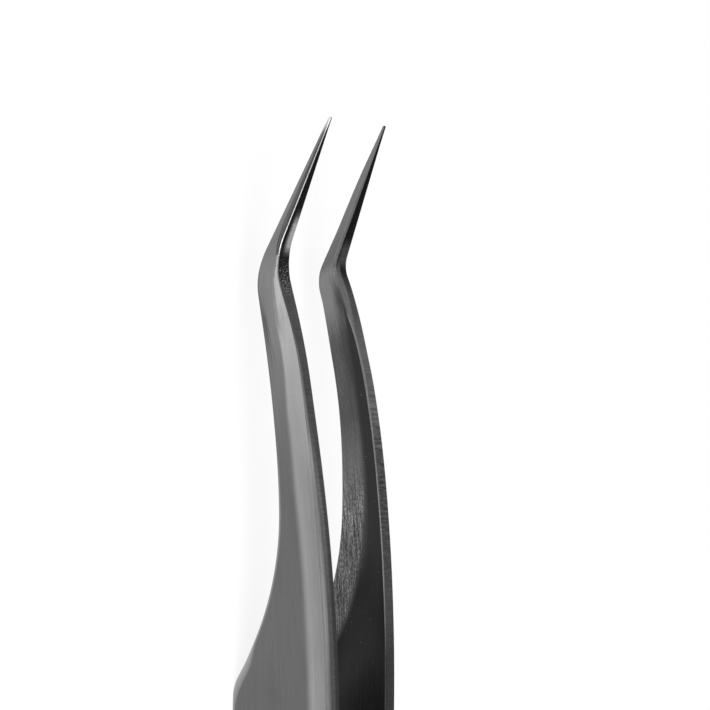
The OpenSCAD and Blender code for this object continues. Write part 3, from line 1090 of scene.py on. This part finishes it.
def ground_steel():
    """Dark brushed steel: streaks along the arm, cross lines on its narrow edges."""
    material = bpy.data.materials.new("ground_steel")
    material.use_nodes = True
    n = Nodes(material.node_tree)
    grain = n.vector("grain")
    streaks = n.noise(grain, STREAK_GRAIN, 4.0, 0.6)
    broad = n.noise(grain, BROAD_GRAIN, 3.0, 0.6)
    fine = n.noise(grain, FINE_GRAIN, 3.0, 0.6)
    cloud = n.noise(grain, CLOUD_GRAIN, 2.0, 0.5)
    cross = n.noise(grain, CROSS_GRAIN, 4.0, 0.65)
    tick = n.noise(grain, TICK_GRAIN, 4.0, 0.7)
    gouge = n.noise(grain, GOUGE_GRAIN, 5.0, 0.85)
    furrow = n.noise(grain, FURROW_GRAIN, 3.0, 0.7)
    sand = n.noise(grain, SAND_GRAIN, 1.0, 0.4)
    dust = n.noise(grain, DUST_GRAIN, 1.0, 0.5)
    zones = {name: n.zone(name) for name in ZONES}

    # how light the metal is, from the level with its painted light and shade: each noise
    # darkens or lightens it between two factors, everywhere or in its own zone
    marks = n.math(
        "MULTIPLY",
        n.ramp(gouge, 0.46, 0.64, 0.6, 2.5),
        n.ramp(furrow, 0.4, 0.6, 0.52, 1.6),
    )
    shade = zones["level"]
    for factor, zone in (
        (n.ramp(streaks, 0.3, 0.7, 0.92, 1.08), None),
        (n.ramp(cloud, 0.3, 0.7, 0.95, 1.06), None),
        (n.ramp(fine, 0.25, 0.75, 0.95, 1.05), None),
        (n.ramp(broad, 0.35, 0.65, 0.5, 1.15), "streaky"),
        (n.ramp(cross, 0.3, 0.7, 0.75, 1.3), "edge_face"),
        (n.ramp(tick, 0.36, 0.64, 0.45, 1.6), "ticks"),
        (marks, "facet_marks"),
        (KNEE_SHADE, "knee_side"),
    ):
        if zone:
            factor = n.mix(zones[zone], 1.0, factor)
        shade = n.math("MULTIPLY", shade, factor)
    sparks = n.math("MULTIPLY", n.ramp(sand, 0.56, 0.7, 0.0, 0.8), zones["sparks"])
    shade = n.math("ADD", shade, sparks)
    # the rounded corners are brightened: a painted highlight
    shade = n.math("MULTIPLY", shade, n.mix(zones["edge_highlight"], 1.0, EDGE_HIGHLIGHT_GAIN))
    dots = n.math("MULTIPLY", n.ramp(dust, 0.7, 0.76, 0.0, 0.08), zones["specks"])
    shade = n.math("ADD", shade, dots)
    colour = n.add("ShaderNodeCombineColor")
    for channel in ("Red", "Green", "Blue"):
        n.link(shade, colour.inputs[channel])

    rough = n.ramp(streaks, 0.25, 0.75, 0.25, 0.34)
    for zone, more in (
        ("edge_face", 0.05),
        ("facet_marks", 0.08),
        ("edge_highlight", -0.06),
        ("matte", 0.4),
    ):
        rough = n.math("ADD", rough, n.math("MULTIPLY", zones[zone], more))

    height = n.math("MULTIPLY", streaks, 0.5)
    height = n.math("ADD", height, n.math("MULTIPLY", fine, 0.35))
    height = n.math("MULTIPLY", height, n.mix(zones["smooth"], 1.0, 0.15))
    for pattern, zone, strength in (
        (cross, "edge_face", 0.8),
        (gouge, "facet_marks", 1.2),
        (sand, "knee_side", 0.4),
    ):
        part = n.math("MULTIPLY", n.math("MULTIPLY", pattern, zones[zone]), strength)
        height = n.math("ADD", height, part)
    relief = n.add("ShaderNodeBump")
    relief.inputs["Strength"].default_value = BUMP_STRENGTH
    relief.inputs["Distance"].default_value = BUMP_DISTANCE
    n.link(height, relief.inputs["Height"])

    shader = n.add("ShaderNodeBsdfPrincipled")
    shader.inputs["Metallic"].default_value = 1.0
    n.link(colour.outputs["Color"], shader.inputs["Base Color"])
    n.link(rough, shader.inputs["Roughness"])
    n.link(relief.outputs["Normal"], shader.inputs["Normal"])
    out = n.add("ShaderNodeOutputMaterial")
    n.link(shader.outputs["BSDF"], out.inputs["Surface"])
    return material


# the floor's colour where it is seen or mirrored, its glow there, which brings
# it up to white, its colour where it lights the object, and half its side in
# metres
FLOOR_SEEN = 0.25
FLOOR_GLOW = 0.86
FLOOR_PLAIN = 0.8
FLOOR_HALF = 20.0


def white_floor():
    """A lit white floor that is also seen and mirrored as white; its shadow stays."""
    material = bpy.data.materials.new("floor_white")
    material.use_nodes = True
    n = Nodes(material.node_tree)
    path = n.add("ShaderNodeLightPath")
    seen = n.math(
        "ADD", path.outputs["Is Camera Ray"], path.outputs["Is Glossy Ray"], True
    )
    seen = n.math("ADD", seen, path.outputs["Is Transmission Ray"], True)
    lit = n.add("ShaderNodeBsdfDiffuse")
    lit.inputs["Color"].default_value = (FLOOR_SEEN, FLOOR_SEEN, FLOOR_SEEN, 1)
    plain = n.add("ShaderNodeBsdfDiffuse")
    plain.inputs["Color"].default_value = (FLOOR_PLAIN, FLOOR_PLAIN, FLOOR_PLAIN, 1)
    glow = n.add("ShaderNodeEmission")
    glow.inputs["Color"].default_value = (1, 1, 1, 1)
    glow.inputs["Strength"].default_value = FLOOR_GLOW
    both = n.add("ShaderNodeAddShader")
    n.link(lit.outputs[0], both.inputs[0])
    n.link(glow.outputs[0], both.inputs[1])
    mix = n.add("ShaderNodeMixShader")
    n.link(seen, mix.inputs[0])
    n.link(plain.outputs[0], mix.inputs[1])
    n.link(both.outputs[0], mix.inputs[2])
    out = n.add("ShaderNodeOutputMaterial")
    n.link(mix.outputs[0], out.inputs["Surface"])
    return material


# ---------------------------------------------------------------------------
# Camera, floor, world and lamps
# ---------------------------------------------------------------------------
# the camera was fitted to the edges in the photo: angles in degrees, the target
# in mm, the distance in metres and the focal length in pixels of the photo
CAMERA_LIFT = 32.0418
CAMERA_TURN = 3.999
CAMERA_ROLL = -0.0273
CAMERA_TARGET = Vector((40.2326, 0.0223, 9.0513)) * MM
CAMERA_DISTANCE = 0.6
FOCAL_PIXELS = 7123.0
IMAGE_SIDE = 710.0
SENSOR = 36.0


def make_camera():
    a, e, r = CAMERA_LIFT, CAMERA_TURN, CAMERA_ROLL
    right = Vector((0, -sin_d(a), cos_d(a)))
    up = Vector((cos_d(e), cos_d(a) * sin_d(e), sin_d(a) * sin_d(e)))
    right, up = right * cos_d(r) + up * sin_d(r), up * cos_d(r) - right * sin_d(r)
    back = right.cross(up)
    data = bpy.data.cameras.new("camera")
    data.sensor_width = SENSOR
    data.lens = SENSOR * FOCAL_PIXELS / IMAGE_SIDE
    data.clip_start = 0.01
    data.clip_end = 100.0
    camera = bpy.data.objects.new("camera", data)
    turn = Matrix((right, up, back)).transposed().to_4x4()
    camera.matrix_world = Matrix.Translation(CAMERA_TARGET + back * CAMERA_DISTANCE) @ turn
    bpy.context.scene.collection.objects.link(camera)
    bpy.context.scene.camera = camera


def make_floor():
    half = FLOOR_HALF
    corners = [(-half, -half, 0), (half, -half, 0), (half, half, 0), (-half, half, 0)]
    mesh = bpy.data.meshes.new("floor")
    mesh.from_pydata(corners, [], [(0, 1, 2, 3)])
    mesh.materials.append(white_floor())
    floor = bpy.data.objects.new("floor", mesh)
    bpy.context.scene.collection.objects.link(floor)


# where the lamps point, in metres
LIT_PLACE = (0.03, 0, 0)


def area_lamp(name, place, width, height, radiance):
    """A soft lamp whose face has the given radiance; 1 shows as white."""
    data = bpy.data.lights.new(name, "AREA")
    data.shape = "RECTANGLE"
    data.size = width
    data.size_y = height
    data.energy = radiance * math.pi * width * height
    lamp = bpy.data.objects.new(name, data)
    lamp.location = place
    to = Vector(LIT_PLACE) - Vector(place)
    lamp.rotation_mode = "QUATERNION"
    lamp.rotation_quaternion = to.to_track_quat("-Z", "Y")
    bpy.context.scene.collection.objects.link(lamp)


# the world's light, by the direction it comes from
LOW_LIGHT = 0.8
HIGH_LIGHT = 0.3
HIGH_Z = 0.36
TAIL_LIGHT = 0.2
TAIL_X_SPAN = (-0.3, 0.1)


def make_world():
    """A white studio, lighter low down and darker on the tail's side."""
    world = bpy.data.worlds.new("world")
    bpy.context.scene.world = world
    world.use_nodes = True
    n = Nodes(world.node_tree)
    where = n.add("ShaderNodeTexCoord")
    parts = n.add("ShaderNodeSeparateXYZ")
    n.link(where.outputs["Generated"], parts.inputs[0])
    height = n.ramp(parts.outputs["Z"], 0.0, HIGH_Z, LOW_LIGHT, HIGH_LIGHT)
    side = n.ramp(parts.outputs["X"], *TAIL_X_SPAN, TAIL_LIGHT, 1.0)
    level = n.math("MULTIPLY", height, side)
    back = n.add("ShaderNodeBackground")
    back.inputs["Color"].default_value = (1, 1, 1, 1)
    n.link(level, back.inputs["Strength"])
    out = n.add("ShaderNodeOutputWorld")
    n.link(back.outputs[0], out.inputs["Surface"])


bpy.context.scene.view_settings.view_transform = "Standard"
make_camera()
make_floor()
make_world()
area_lamp("soft_side", (0.1, 0.9, 0.15), width=1.4, height=0.34, radiance=0.85)
area_lamp("soft_key", (-0.42, 0.6, 0.85), width=0.9, height=0.9, radiance=3.2)

steel = ground_steel()
build_arm(
    "left_arm_ground", "left_arm", LEFT_BEND_RADIUS, LEFT_KNEE_RADIUS, 1, steel
)
build_arm(
    "right_arm_ground", "right_arm", RIGHT_BEND_RADIUS, RIGHT_KNEE_RADIUS, -1, steel
)
